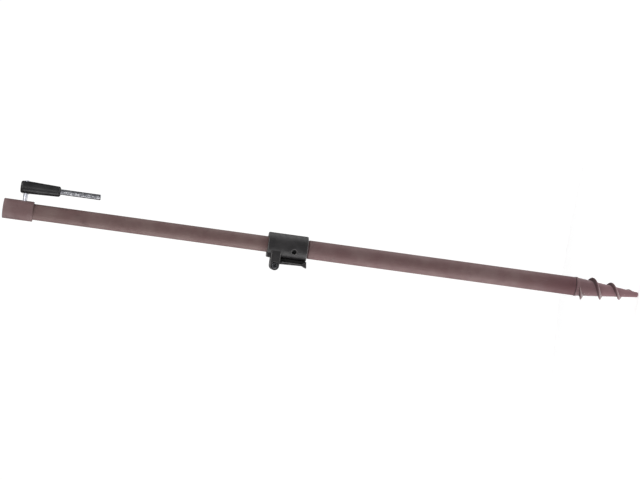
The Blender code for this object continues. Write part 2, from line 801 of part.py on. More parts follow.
def make_handle_grip(pivot):
    """A tapered moulded grip with a round top, a blind bore for the bar and a cross hole for the stud."""
    bore_r = BAR_R + SEAT_GAP
    bore_top = BAR_TOP_Z + SEAT_GAP
    round_center = (GRIP_TOP_R - GRIP_ROUND, GRIP_TOP_Z - GRIP_ROUND)
    outline = [(0, GRIP_TOP_Z)]
    outline += arc(round_center, GRIP_ROUND, math.pi / 2, 0, 6)
    outline += [
        (GRIP_BOTTOM_R, GRIP_BOTTOM_Z + GRIP_CHAMFER),
        (GRIP_BOTTOM_R - GRIP_CHAMFER, GRIP_BOTTOM_Z),
        (bore_r, GRIP_BOTTOM_Z),
        (bore_r, bore_top),
        (0, bore_top),
    ]
    grip = turned("handle_grip", outline, sides=48)
    place(grip, (HANDLE_X, 0, 0), pivot=pivot)
    along_x = (0, math.pi / 2, 0)
    hole = cylinder("grip_hole", STUD_NECK_R + RUN_GAP, 0.04)
    place(hole, (COLLAR_R, 0, STUD_Z), along_x)
    combine(grip, as_tool(hole), "DIFFERENCE")
    spot_face = cylinder("grip_spot_face", STUD_HEAD_R + SEAT_GAP, 0.01)
    place(spot_face, (STUD_HEAD_X - RUN_GAP, 0, STUD_Z), along_x)
    combine(grip, as_tool(spot_face), "DIFFERENCE")
    seat_face = cylinder("grip_seat_face", WASHER_R + SEAT_GAP, 0.01)
    seat_at = STUD_SHOULDER_X + 2 * RUN_GAP + WASHER_T
    place(seat_face, (seat_at - 0.01, 0, STUD_Z), along_x)
    combine(grip, as_tool(seat_face), "DIFFERENCE")
    return finish(grip, GRIP_PLASTIC)


def make_handle_bar(pivot):
    edge = 0.0005
    outline = [
        (0, BAR_TOP_Z),
        (BAR_R - edge, BAR_TOP_Z),
        (BAR_R, BAR_TOP_Z - edge),
        (BAR_R, BAR_BOTTOM_Z + edge),
        (BAR_R - edge, BAR_BOTTOM_Z),
        (0, BAR_BOTTOM_Z),
    ]
    bar = turned("handle_bar", outline, sides=SMALL_SIDES)
    place(bar, (HANDLE_X, 0, 0), pivot=pivot)
    return finish(bar, ZINC)


clear_scene()
PARTS = new_collection("telescopic_ground_pole")
TOOLS = new_collection("cutters")

section_slide = new_pivot("section_slide", (0, 0, BUSH_BOTTOM_Z))
section_swivel = new_pivot("section_swivel", (0, 0, INNER_BOTTOM_Z))
lever_swing = new_pivot("lever_swing", (PIVOT_X, 0, PIVOT_Z))
pad_press = new_pivot("pad_press", (PAD_BACK_X, 0, PIVOT_Z))
handle_swing = new_pivot("handle_swing", (HANDLE_X, 0, STUD_Z))

make_outer_tube()
make_auger_point()
make_auger_flight()
make_clamp_housing()
make_grub_screws()
make_pivot_screw()
make_pivot_nut()
make_cam_lever(lever_swing)
make_brake_pad(pad_press)
make_glide_bush(section_slide)
head_hole = stud_hole("stud_hole", STUD_ROOT_R + SEAT_GAP)
make_inner_tube(section_swivel, head_hole)
make_head_collar(section_swivel, head_hole)
make_head_insert(section_swivel, head_hole)
make_handle_stud(section_swivel)
make_stud_washer(section_swivel)
make_handle_grip(handle_swing)
make_handle_bar(handle_swing)
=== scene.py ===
"""The looks of the telescopic ground pole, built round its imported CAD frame.

Metres, +Z up along the pole, the handle on +X and the clamp's lever on -X, as in the CAD. Round pieces are
revolved from rounded outlines. The housing, the lever, the brake pad and the auger start as copies of their
CAD meshes, which are remeshed finely and smoothed. Every piece rides on its CAD body and stands for its CAD
node, and the auger's one piece stands for two nodes.
"""

import json
import math

import bmesh
import bpy
from mathutils import Matrix, Vector, noise


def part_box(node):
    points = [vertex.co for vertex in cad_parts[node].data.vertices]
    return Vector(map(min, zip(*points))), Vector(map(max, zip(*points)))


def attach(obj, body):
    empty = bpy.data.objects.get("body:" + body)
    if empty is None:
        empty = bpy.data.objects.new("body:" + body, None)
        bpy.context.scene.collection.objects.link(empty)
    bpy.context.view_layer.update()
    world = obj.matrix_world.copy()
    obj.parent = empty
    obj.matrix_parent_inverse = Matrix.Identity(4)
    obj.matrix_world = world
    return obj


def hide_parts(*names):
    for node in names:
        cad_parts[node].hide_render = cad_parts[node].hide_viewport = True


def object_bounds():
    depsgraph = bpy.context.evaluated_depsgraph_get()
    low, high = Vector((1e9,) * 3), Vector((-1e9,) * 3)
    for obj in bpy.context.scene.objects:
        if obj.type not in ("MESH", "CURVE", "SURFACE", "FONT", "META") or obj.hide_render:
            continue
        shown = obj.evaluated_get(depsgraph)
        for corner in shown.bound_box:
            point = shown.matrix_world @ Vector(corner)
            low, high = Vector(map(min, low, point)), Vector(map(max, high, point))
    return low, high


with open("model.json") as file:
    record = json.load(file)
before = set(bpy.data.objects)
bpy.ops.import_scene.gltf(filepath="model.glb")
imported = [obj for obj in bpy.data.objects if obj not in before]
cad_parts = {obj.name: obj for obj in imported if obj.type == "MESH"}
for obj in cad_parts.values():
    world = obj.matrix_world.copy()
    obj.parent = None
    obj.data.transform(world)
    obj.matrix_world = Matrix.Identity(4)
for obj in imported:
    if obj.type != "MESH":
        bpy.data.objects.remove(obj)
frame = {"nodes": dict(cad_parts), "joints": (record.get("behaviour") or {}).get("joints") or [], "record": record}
CAD_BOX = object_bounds()

MM = 0.001

# Camera
LENS = 106.9
SENSOR = 36.0
DISTANCE = 2.322
CLIP_START = 0.05
SLOPE = math.radians(7.856)  # how far the pole slopes down to its tip in the picture
TILT = math.radians(5)  # how far its head leans towards the camera
AIM_HEIGHT = 0.3177  # a point of the pole's axis near the middle of the picture
AIM_RIGHT = 0.00099  # how far right of the middle that point lies
AIM_UP = -0.013907  # and how far above it

# Sizes that the frame's boxes don't give
OUTER_BORE_R = 10.2 * MM
INNER_BORE_R = 8.45 * MM
GROOVE_Z = 333.7 * MM
GROOVE_HALF = 0.9 * MM
GROOVE_DEPTH = 0.45 * MM
GROOVE_BEAD = 0.3 * MM  # how far the groove stands in from the bore
TUBE_END = 1 * MM  # how much of the outer tube's wall belongs to the outline of each end
SOCKET_R = 4.5 * MM
SOCKET_DEPTH = 16.5 * MM
SOCKET_POINT = 2 * MM  # depth of the cone that the drill left below the socket
SOCKET_PITCH = 1.27 * MM
SOCKET_THREAD = 0.22 * MM
PLUG_R = 8.15 * MM  # of the head insert and the glide bush in the inner tube
COLLAR_HOLE_R = 2.9 * MM
STUD_ROOT_R = 2.5 * MM
STUD_NECK_R = 2.0 * MM
STUD_HEAD_R = 2.8 * MM
WASHER_BORE_R = 2.1 * MM
GRIP_HOLE_R = 2.15 * MM
GRIP_HEAD_SEAT_R = 3.1 * MM
GRIP_WASHER_SEAT_R = 3.9 * MM
GRIP_FOOT_R = 6.2 * MM
BUSH_BORE_R = 5.0 * MM
BUSH_FLANGE = 6 * MM
GRUB_ANGLE = math.radians(21)
GRUB_INNER = 11.7 * MM
GRUB_OUTER = 13.3 * MM
GRUB_KEY_R = 1.7 * MM
GRUB_KEY_DEPTH = 1.1 * MM
SCREW_SHANK_R = 2.0 * MM
SCREW_HEAD_DEPTH = 2.3 * MM
SCREW_PITCH = 0.7 * MM
SCREW_THREAD = 0.3 * MM
SCREW_THREAD_LENGTH = 5 * MM
RECESS_WIDTH = 5.6 * MM  # nearly, at the screw's face
RECESS_THICK = 1.1 * MM  # the same
RECESS_LENGTH = 3.4 * MM  # of the spikes that cut it
RECESS_TAPER = 0.35
RECESS_SHIFT = 0.3 * MM  # from the screw's face to the middle of the spikes
RECESS_TURN = 0.5  # radians
NUT_BORE_R = 2.1 * MM

# Fineness of the meshes
SIDES = 128
MEDIUM_SIDES = 96
SMALL_SIDES = 64
HOLE_SIDES = 48
TUBE_STEP = 30 * MM
THREAD_STEPS = 8  # to a turn of thread


def mesh_object(name, bm):
    mesh = bpy.data.meshes.new(name)
    bm.normal_update()
    bm.to_mesh(mesh)
    bm.free()
    obj = bpy.data.objects.new(name, mesh)
    bpy.context.scene.collection.objects.link(obj)
    return obj


def shade(obj, angle=35):
    obj.data.shade_smooth()
    obj.data.set_sharp_from_angle(angle=math.radians(angle))
    return obj


def finish(obj, material, nodes):
    """Gives a piece its material and its place in the frame: the CAD nodes that it stands for."""
    obj.data.materials.clear()
    obj.data.materials.append(material)
    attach(obj, body_of(nodes[0]))
    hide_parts(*nodes)
    return obj


def body_of(node):
    bodies = frame["record"]["behaviour"]["bodies"]
    return next(name for name, members in bodies.items() if node in members)


def rounded(points, radii, steps=4):
    """An outline whose corners are rounded, each by its own radius. A radius of 0 keeps a corner."""
    made = []
    for i, (point, radius) in enumerate(zip(points, radii)):
        here = Vector(point)
        if radius == 0 or i in (0, len(points) - 1):
            made.append(tuple(here))
            continue
        before = (Vector(points[i - 1]) - here).normalized()
        after = (Vector(points[i + 1]) - here).normalized()
        reach = radius / math.tan(before.angle(after) / 2)
        start, end = here + before * reach, here + after * reach
        for k in range(steps + 1):
            t = k / steps
            made.append(tuple(start.lerp(here, t).lerp(here.lerp(end, t), t)))
    return made


def ring_rounded(points, radii, steps=4):
    """The same for a closed outline."""
    wrapped = [points[-1]] + points + [points[0]]
    made = rounded(wrapped, [0] + radii + [0], steps)
    return made[1:-1]


def revolved(name, outline, sides=SIDES, ring=False, shape=None):
    """A turned mesh from (radius, height) points. shape(radius, angle, height) may move a point's radius."""
    bm = bmesh.new()
    rows = []
    for radius, height in outline:
        if radius < 1e-7:
            rows.append([bm.verts.new((0, 0, height))])
            continue
        row = []
        for k in range(sides):
            angle = math.tau * k / sides
            r = shape(radius, angle, height) if shape else radius
            row.append(bm.verts.new((r * math.cos(angle), r * math.sin(angle), height)))
        rows.append(row)
    pairs = list(zip(rows, rows[1:]))
    if ring:
        pairs.append((rows[-1], rows[0]))
    for near, far in pairs:
        for k in range(sides):
            after = (k + 1) % sides
            if len(near) == 1:
                bm.faces.new((near[0], far[k], far[after]))
            elif len(far) == 1:
                bm.faces.new((near[k], far[0], near[after]))
            else:
                bm.faces.new((near[k], far[k], far[after], near[after]))
    bmesh.ops.recalc_face_normals(bm, faces=bm.faces)
    return mesh_object(name, bm)


def lengths(start, end, step):
    """Heights from one to the other in even steps of about the given length."""
    count = max(1, round(abs(end - start) / step))
    return [start + (end - start) * i / count for i in range(count + 1)]


def thread_phase(height, angle, pitch):
    """How far through a turn of thread a point lies, from 0 to 1."""
    return (height / pitch - angle / math.tau) % 1


def turn(obj, matrix):
    obj.data.transform(matrix)
    return obj


def prism(name, radius, length, sides):
    """A prism along Z from 0 to its length."""
    bm = bmesh.new()
    bmesh.ops.create_cone(
        bm, cap_ends=True, segments=sides, radius1=radius, radius2=radius, depth=length
    )
    bmesh.ops.translate(bm, vec=(0, 0, length / 2), verts=bm.verts)
    return mesh_object(name, bm)


def block(name, low, high):
    bm = bmesh.new()
    bmesh.ops.create_cube(bm, size=1)
    bmesh.ops.scale(bm, vec=[b - a for a, b in zip(low, high)], verts=bm.verts)
    bmesh.ops.translate(bm, vec=[(a + b) / 2 for a, b in zip(low, high)], verts=bm.verts)
    return mesh_object(name, bm)


def apply_modifiers(obj):
    bpy.context.view_layer.update()
    evaluated = obj.evaluated_get(bpy.context.evaluated_depsgraph_get())
    mesh = bpy.data.meshes.new_from_object(evaluated)
    obj.modifiers.clear()
    obj.data = mesh
    return obj


def cut(obj, *tools, operation="DIFFERENCE"):
    for tool in tools:
        modifier = obj.modifiers.new("cut", "BOOLEAN")
        modifier.operation = operation
        modifier.solver = "EXACT"
        modifier.object = tool
        apply_modifiers(obj)
        bpy.data.objects.remove(tool)
    return obj


def softened(obj, voxel, passes, strength=0.5):
    """A fine even mesh of a solid, smoothed until its edges have a moulded radius."""
    remesh = obj.modifiers.new("remesh", "REMESH")
    remesh.mode = "VOXEL"
    remesh.voxel_size = voxel
    smooth = obj.modifiers.new("smooth", "SMOOTH")
    smooth.factor = strength
    smooth.iterations = passes
    apply_modifiers(obj)
    obj.data.shade_smooth()
    return obj


def copy_of(name, *nodes):
    """A new object made from copies of CAD nodes' meshes."""
    bm = bmesh.new()
    for node in nodes:
        bm.from_mesh(frame["nodes"][node].data)
    bmesh.ops.remove_doubles(bm, verts=bm.verts, dist=1e-6)
    return mesh_object(name, bm)


# ---------------------------------------------------------------- materials


class Nodes:
    """A small helper that adds shader nodes and joins them."""

    def __init__(self, name):
        self.material = bpy.data.materials.new(name)
        self.material.use_nodes = True
        self.tree = self.material.node_tree
        self.shader = self.tree.nodes["Principled BSDF"]
        where = self.add("ShaderNodeTexCoord")
        self.position = where.outputs["Object"]
        split = self.add("ShaderNodeSeparateXYZ", {0: self.position})
        self.out, self.across, self.height = split.outputs["X"], split.outputs["Y"], split.outputs["Z"]
        self.edge = self.add("ShaderNodeNewGeometry").outputs["Pointiness"]
        self.facing = self.add("ShaderNodeSeparateXYZ", {0: where.outputs["Normal"]}).outputs["Z"]

    def add(self, kind, inputs=None, **settings):
        node = self.tree.nodes.new(kind)
        for key, value in settings.items():
            setattr(node, key, value)
        for key, value in (inputs or {}).items():
            self.join(value, node.inputs[key])
        return node

    def join(self, value, socket):
        if isinstance(value, bpy.types.NodeSocket):
            self.tree.links.new(value, socket)
        else:
            socket.default_value = value

    def stretched(self, scale):
        """The object's coordinates, scaled along each axis."""
        node = self.add("ShaderNodeMapping", {"Vector": self.position, "Scale": scale})
        return node.outputs["Vector"]

    def noise(self, scale, detail=3, roughness=0.5, vector=None):
        where = self.position if vector is None else vector
        node = self.add(
            "ShaderNodeTexNoise",
            {"Vector": where, "Scale": scale, "Detail": detail, "Roughness": roughness},
        )
        return node.outputs["Fac"]

    def level(self, value, low, high, to_low=0.0, to_high=1.0):
        """Maps a range of values smoothly to another range, held at its ends."""
        node = self.add(
            "ShaderNodeMapRange",
            {"Value": value, "From Min": low, "From Max": high, "To Min": to_low, "To Max": to_high},
            interpolation_type="SMOOTHSTEP",
        )
        return node.outputs["Result"]

    def mix(self, share, first, second):
        node = self.add("ShaderNodeMix", data_type="RGBA")
        self.join(share, node.inputs["Factor"])
        self.join(first, node.inputs[6])
        self.join(second, node.inputs[7])
        return node.outputs[2]

    def laid(self, color, mask, share, other):
        """A colour with another laid over it, as far as a mask and a share say."""
        return self.mix(self.math("MULTIPLY", mask, share), color, other)

    def math(self, operation, first, second):
        node = self.add("ShaderNodeMath", operation=operation)
        self.join(first, node.inputs[0])
        self.join(second, node.inputs[1])
        return node.outputs[0]

    def bump(self, height, depth, strength=1.0, below=None):
        inputs = {"Height": height, "Distance": depth, "Strength": strength}
        if below is not None:
            inputs["Normal"] = below
        return self.add("ShaderNodeBump", inputs).outputs["Normal"]

    def set(self, **inputs):
        for key, value in inputs.items():
            self.join(value, self.shader.inputs[key.replace("_", " ")])
        return self.material


def rgb(red, green, blue):
    return (red, green, blue, 1.0)


def powder_coat(
    name, body, worn, rub=0.0, rough=0.58, specular=0.3, shade_ring=None, soiled_to=None, dug=False
):
    """Brown powder coat: a fine orange peel, clouding, lighter specks, rubbed lines, hairlines and stains.

    rub strengthens the rubbed lines. shade_ring is (height, half width) of a ring darkened as painted shade.
    soiled_to is the height that earth has stained the coat to. A coat that has dug in the ground has painted shade
    on the faces that look up and a painted highlight on those that look down, is rubbed on crests and paler
    towards its tip.
    """
    n = Nodes(name)
    cloud = n.level(n.noise(45, 4), 0.35, 0.68)
    speck = n.level(n.noise(2600, 2), 0.56, 0.72)
    scuff = n.level(n.noise(9, 8, 0.72, n.stretched((14, 14, 1.2))), 0.63, 0.74)
    color = n.laid(body, cloud, 0.5, worn)
    color = n.laid(color, speck, 0.4, worn)
    color = n.laid(color, scuff, 0.22 + rub, worn)
    if soiled_to:
        color = n.mix(n.level(n.height, 0.0, soiled_to, 1.0, 0.0), color, POINT_BROWN)
    if dug:
        color = n.mix(n.level(n.height, *PALE_TIP, 0.85, 0.0), color, POINT_TIP)
    hairline = n.level(n.noise(150, 3, 0.5, n.stretched((7, 7, 0.22))), 0.65, 0.68)
    color = n.laid(color, hairline, 0.45, worn)
    stain = n.level(n.noise(26, 6, 0.68), 0.56, 0.72)
    color = n.laid(color, stain, 0.35, GRIME_AND_SHADE)
    # A ring darkened as painted shade: the shadow in the outer tube's rolled groove and in the seam under the
    # point's flange.
    if shade_ring:
        height, half = shade_ring
        off = n.math("ABSOLUTE", n.math("SUBTRACT", n.height, height), 0.0)
        ring = n.level(off, half * 0.3, half, 1.0, 0.0)
        color = n.laid(color, ring, 0.65, GRIME_AND_SHADE)
    # Faces that look up are darkened as painted shade and faces that look down lightened as a painted highlight.
    # The crests are rubbed.
    if dug:
        up_faces_shaded = n.level(n.facing, 0.22, 0.60)
        color = n.laid(color, up_faces_shaded, 0.75, GRIME_AND_SHADE)
        down_faces_lit = n.level(n.facing, -0.85, -0.30, 1.0, 0.0)
        color = n.laid(color, down_faces_lit, 0.8, SCRAPED_AND_LIT)
        crest = n.level(n.edge, 0.52, 0.60)
        patchy = n.level(n.noise(220, 4), 0.35, 0.6)
        color = n.laid(color, crest, patchy, SCRAPED_AND_LIT)
    uneven = n.level(n.noise(160, 3), 0.3, 0.7, rough - 0.06, rough + 0.06)
    peel = n.bump(n.noise(1300, 2, 0.4), 0.14 * MM, 0.6)
    grit = n.bump(n.noise(5200, 1), 0.02 * MM, 0.5, below=peel)
    return n.set(Base_Color=color, Roughness=uneven, Normal=grit, Specular_IOR_Level=specular)


def moulded_plastic(name, body, bloom, rough=0.48, rib=None, edges=None):
    """Moulded plastic: a fine spark texture, a slight grey bloom, small dull scuffs and hairline scratches.

    rib is (half width, x) of the lever's middle rib, darkened with painted shade for the gap behind it. edges
    is the colour that corners are rubbed to, partly wear and partly a painted highlight on the rims.
    """
    n = Nodes(name)
    cloud = n.level(n.noise(70, 5), 0.38, 0.7)
    scuff = n.level(n.noise(300, 7, 0.75, n.stretched((1, 1, 0.35))), 0.60, 0.72)
    color = n.laid(body, cloud, 0.6, bloom)
    color = n.laid(color, scuff, 0.4, bloom)
    scratch = n.level(n.noise(130, 3, 0.5, n.stretched((9, 1.5, 0.35))), 0.645, 0.675)
    color = n.laid(color, scratch, 0.5, bloom)
    if edges:
        # Corners are lightened, partly as wear and partly as a painted highlight on the rims.
        rubbed = n.level(n.edge, 0.507, 0.532)
        patchy = n.level(n.noise(190, 4, 0.6), 0.30, 0.58, 0.35, 1.0)
        color = n.laid(color, rubbed, patchy, edges)
    # The middle rib is darkened with painted shade for the gap between the paddle and the housing.
    if rib:
        half, face_x = rib
        inside = n.level(n.math("ABSOLUTE", n.across, 0.0), half, half + 0.5 * MM, 1.0, 0.0)
        deep = n.level(n.out, face_x - 0.3 * MM, face_x + 0.3 * MM)
        color = n.laid(color, inside, deep, GAP_SHADE)
    gloss = n.level(n.noise(220, 4), 0.3, 0.7, rough - 0.06, rough + 0.08)
    spark = n.bump(n.noise(3000, 2), 0.08 * MM, 0.6)
    soft = n.bump(n.noise(420, 2), 0.1 * MM, 0.35, below=spark)
    return n.set(Base_Color=color, Roughness=gloss, Normal=soft)


def zinc_plate(name, streak_scale, dark=0.20, bright=0.82, rough=0.3):
    """Bright zinc plate: bluish, mottled by the dip and streaked along the piece."""
    n = Nodes(name)
    mottle = n.level(n.noise(420, 5, 0.6), 0.36, 0.66)
    streak = n.level(n.noise(260, 4, 0.6, n.stretched(streak_scale)), 0.35, 0.68)
    dull = rgb(dark, dark * 1.02, dark * 1.12)
    shiny = rgb(bright, bright * 1.01, bright * 1.05)
    color = n.laid(dull, mottle, streak, shiny)
    gloss = n.level(n.noise(600, 3), 0.3, 0.7, rough - 0.1, rough + 0.1)
    dimple = n.bump(n.noise(520, 3), 0.2 * MM, 0.35)
    line = n.bump(n.noise(900, 2, 0.5, n.stretched(streak_scale)), 0.05 * MM, 0.4, below=dimple)
    return n.set(Base_Color=color, Roughness=gloss, Metallic=1.0, Normal=line)


def black_oxide(name, body, bare, pocket=None):
    """Blackened steel, with bare metal showing a little where it is rubbed.

    pocket is a pair of Ys between which the recess is darkened and made dull as painted shade.
    """
    n = Nodes(name)
    rubbed = n.level(n.noise(900, 5, 0.7), 0.56, 0.70)
    blackened = rgb(body, body, body * 1.08)
    bared = rgb(bare, bare, bare * 1.06)
    color = n.laid(blackened, rubbed, 0.5, bared)
    metal = 0.85
    # The cross recess is darkened and its metal taken away, as painted shade.
    if pocket:
        near, far = pocket
        below = n.level(n.across, near, near + 0.1 * MM)
        above = n.level(n.across, far, far + 0.1 * MM, 1.0, 0.0)
        shaded_pocket = n.math("MULTIPLY", below, above)
        color = n.mix(shaded_pocket, color, POCKET_SHADE)
        metal = n.level(shaded_pocket, 0.0, 1.0, metal, 0.0)
    rough = n.level(n.noise(700, 3), 0.3, 0.7, 0.28, 0.48)
    dent = n.bump(n.noise(2500, 2), 0.03 * MM, 0.4)
    return n.set(Base_Color=color, Roughness=rough, Metallic=metal, Normal=dent)


def plain_floor(name):
    n = Nodes(name)
    glow = rgb(1, 1, 1)
    return n.set(Base_Color=FLOOR_WHITE, Roughness=0.9, Emission_Color=glow, Emission_Strength=FLOOR_GLOW)


SOILED_TO = 85 * MM  # how high earth has stained the outer tube
FLANGE_SHADE = (-0.1 * MM, 0.7 * MM)  # height and half width of the ring of painted shade where flange and tube meet
PALE_TIP = (-45 * MM, -5 * MM)  # heights between which the point's coat turns from pale to brown
LEVER_RIB_SHADE = (2.2 * MM, -19.0 * MM)  # the middle rib's half width and the X from which painted shade darkens it

COLLAR_BROWN = rgb(0.171, 0.103, 0.103)
COLLAR_WORN = rgb(0.247, 0.178, 0.176)
INNER_BROWN = rgb(0.150, 0.087, 0.084)
INNER_WORN = rgb(0.216, 0.152, 0.142)
OUTER_BROWN = rgb(0.155, 0.088, 0.088)
OUTER_WORN = rgb(0.224, 0.154, 0.152)
POINT_BROWN = rgb(0.122, 0.055, 0.061)
POINT_WORN = rgb(0.180, 0.094, 0.100)
POINT_TIP = rgb(0.215, 0.108, 0.120)
BLACK = rgb(0.014, 0.0125, 0.0135)
BLACK_BLOOM = rgb(0.042, 0.039, 0.041)
BLACK_RUBBED_AND_HIGHLIGHT = rgb(0.175, 0.167, 0.168)
GRIP_BLACK = rgb(0.009, 0.009, 0.010)
GRIP_BLOOM = rgb(0.026, 0.026, 0.028)
NYLON = rgb(0.50, 0.49, 0.46)
NYLON_DULL = rgb(0.40, 0.39, 0.36)
GRIME_AND_SHADE = rgb(0.030, 0.014, 0.015)
GAP_SHADE = rgb(0.003, 0.003, 0.003)
POCKET_SHADE = rgb(0.004, 0.004, 0.004)
SCRAPED_AND_LIT = rgb(0.40, 0.33, 0.33)

COAT = powder_coat("brown_powder_coat", COLLAR_BROWN, COLLAR_WORN)
COAT_GROOVED = powder_coat(
    "brown_powder_coat_grooved",
    OUTER_BROWN,
    OUTER_WORN,
    shade_ring=(GROOVE_Z, GROOVE_HALF),
    soiled_to=SOILED_TO,
)
COAT_RUBBED = powder_coat("brown_powder_coat_rubbed", INNER_BROWN, INNER_WORN, rub=0.2)
COAT_POINT = powder_coat(
    "brown_powder_coat_point",
    POINT_BROWN,
    POINT_WORN,
    rub=0.15,
    rough=0.44,
    specular=0.5,
    shade_ring=FLANGE_SHADE,
    dug=True,
)
CLAMP_PLASTIC = moulded_plastic("clamp_nylon", BLACK, BLACK_BLOOM, edges=BLACK_RUBBED_AND_HIGHLIGHT)
LEVER_PLASTIC = moulded_plastic("lever_nylon", BLACK, BLACK_BLOOM, rib=LEVER_RIB_SHADE, edges=BLACK_RUBBED_AND_HIGHLIGHT)
GRIP_PLASTIC = moulded_plastic("grip_plastic", GRIP_BLACK, GRIP_BLOOM, rough=0.36)
PLAIN_NYLON = moulded_plastic("plain_nylon", NYLON, NYLON_DULL, rough=0.5)
ZINC_LONG = zinc_plate("zinc_bar", (3.5, 3.5, 0.4))
ZINC_SMALL = zinc_plate("zinc_small_parts", (1, 1, 1), dark=0.80, bright=0.92, rough=0.38)
BLACK_STEEL = black_oxide("black_oxide_steel", body=0.012, bare=0.06)
SCREW_FACE_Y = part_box("pivot_screw")[0].y
SCREW_STEEL = black_oxide(
    "black_oxide_rubbed_screw",
    body=0.09,
    bare=0.30,
    pocket=(SCREW_FACE_Y + 0.5 * MM, SCREW_FACE_Y + 3 * MM),
)


# ---------------------------------------------------------------- tubes and head


def groove(radius, depth, steps=14):
    """The rolled groove's outline, from its upper end to its lower one."""
    points = []
    for i in range(steps + 1):
        along = 2 * i / steps - 1
        dip = depth * (1 + math.cos(math.pi * along)) / 2
        points.append((radius - dip, GROOVE_Z - along * GROOVE_HALF))
    return points


def make_outer_tube():
    """The outer tube: a rounded mouth, the rolled groove and its bead in the bore."""
    low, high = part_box("outer_tube")
    radius = high.x
    lip = 0.35 * MM
    mouth = [(radius - 0.6 * MM, high.z), (radius, high.z), (radius, high.z - TUBE_END)]
    foot = [(radius, low.z + TUBE_END), (radius, low.z), (OUTER_BORE_R, low.z)]
    outline = rounded(mouth, [0, lip, 0])
    outline += groove(radius, GROOVE_DEPTH)
    outline += [(radius, z) for z in lengths(GROOVE_Z - 3 * GROOVE_HALF, low.z + TUBE_END, TUBE_STEP)]
    outline += rounded(foot, [0, 0.2 * MM, 0])[1:]
    outline += reversed(groove(OUTER_BORE_R, GROOVE_BEAD))
    outline += [(OUTER_BORE_R, high.z - lip), (OUTER_BORE_R + lip, high.z)]
    tube = revolved("outer_tube_coated", outline, ring=True)
    return finish(shade(tube), COAT_GROOVED, ["outer_tube"])


def make_inner_tube():
    low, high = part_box("inner_tube")
    outline = [(high.x, z) for z in lengths(high.z, low.z, TUBE_STEP)]
    outline += [(INNER_BORE_R, low.z), (INNER_BORE_R, high.z)]
    tube = revolved("inner_tube_coated", outline, ring=True)
    return finish(shade(tube), COAT_RUBBED, ["inner_tube"])


def make_head_collar():
    """The collar, with rounded ends and a shallow dimple ring where it is pressed on the tube."""
    low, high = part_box("head_collar")
    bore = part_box("inner_tube")[1].x + 0.3 * MM
    outer = high.x
    press_z = low.z + 3.2 * MM
    press_half = 0.8 * MM
    press_depth = 0.12 * MM
    outline = ring_rounded(
        [
            (outer, high.z),
            (outer, press_z + press_half),
            (outer - press_depth, press_z),
            (outer, press_z - press_half),
            (outer, low.z),
            (bore, low.z),
            (bore, high.z),
        ],
        [0.7 * MM, 0.6 * MM, 0.4 * MM, 0.6 * MM, 0.5 * MM, 0.1 * MM, 0.3 * MM],
    )
    collar = revolved("head_collar_coated", outline, ring=True)
    cut(collar, along_stud(prism("collar_hole", COLLAR_HOLE_R, 20 * MM, HOLE_SIDES)))
    return finish(shade(collar), COAT, ["head_collar"])


def make_head_insert():
    """The threaded plug: a chamfered mouth and a real helical thread down its socket."""
    low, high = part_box("head_insert")
    rim_r = high.x
    rim_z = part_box("inner_tube")[1].z + 0.3 * MM
    floor_z = high.z - SOCKET_DEPTH
    mouth = 0.7 * MM
    chamfer = 0.4 * MM
    rim_chamfer = 0.2 * MM

    def thread(radius, angle, height):
        if abs(radius - SOCKET_R) > 1e-6 or height > high.z - mouth:
            return radius
        phase = thread_phase(height, angle, SOCKET_PITCH)
        return radius + SOCKET_THREAD * (1 - abs(4 * phase - 2)) * 0.5

    outline = [(0, low.z), (PLUG_R - chamfer, low.z), (PLUG_R, low.z + chamfer), (PLUG_R, rim_z)]
    outline += [(rim_r, rim_z), (rim_r, high.z - rim_chamfer), (rim_r - rim_chamfer, high.z)]
    outline += [(SOCKET_R + mouth, high.z)]
    outline += [(SOCKET_R, z) for z in lengths(high.z - mouth, floor_z, SOCKET_PITCH / THREAD_STEPS)]
    outline += [(0, floor_z - SOCKET_POINT)]
    insert = revolved("head_insert_threaded", outline, sides=MEDIUM_SIDES, shape=thread)
    return finish(shade(insert, 50), ZINC_SMALL, ["head_insert"])


# ---------------------------------------------------------------- handle


def along_stud(obj):
    """Turns a piece's Z outwards along the stud's axis, whose zero is the pole's axis."""
    low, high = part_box("handle_stud")
    place = Matrix.Translation((0, 0, (low.z + high.z) / 2))
    return turn(obj, place @ Matrix.Rotation(math.pi / 2, 4, "Y"))


def make_handle_stud():
    """The stud: a tapered shoulder between the collar and the washer, a neck in the grip and a round head."""
    low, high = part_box("handle_stud")
    collar_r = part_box("head_collar")[1].x
    shoulder_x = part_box("stud_washer")[0].x - 0.1 * MM
    shoulder_r = (high.z - low.z) / 2
    head_x = high.x - 1.2 * MM
    outline = rounded(
        [
            (0, high.x),
            (STUD_HEAD_R * 0.62, high.x - 0.08 * MM),
            (STUD_HEAD_R, high.x - 0.6 * MM),
            (STUD_HEAD_R, head_x),
            (STUD_NECK_R, head_x),
            (STUD_NECK_R, shoulder_x),
            (shoulder_r, shoulder_x),
            (shoulder_r * 0.97, shoulder_x - 1.2 * MM),
            (STUD_ROOT_R, collar_r + 0.4 * MM),
            (STUD_ROOT_R, low.x),
            (0, low.x),
        ],
        [0, 0.8 * MM, 0.3 * MM, 0.1 * MM, 0.1 * MM, 0, 0.25 * MM, 0.8 * MM, 0.6 * MM, 0.3 * MM, 0],
    )
    stud = along_stud(revolved("handle_stud_plated", outline, sides=SMALL_SIDES))
    return finish(shade(stud, 50), ZINC_SMALL, ["handle_stud"])


def make_stud_washer():
    low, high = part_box("stud_washer")
    outer = (high.z - low.z) / 2
    points = [(outer, high.x), (outer, low.x), (WASHER_BORE_R, low.x), (WASHER_BORE_R, high.x)]
    outline = ring_rounded(points, [0.15 * MM] * len(points), steps=3)
    washer = along_stud(revolved("stud_washer_plated", outline, sides=SMALL_SIDES, ring=True))
    return finish(shade(washer, 50), ZINC_SMALL, ["stud_washer"])


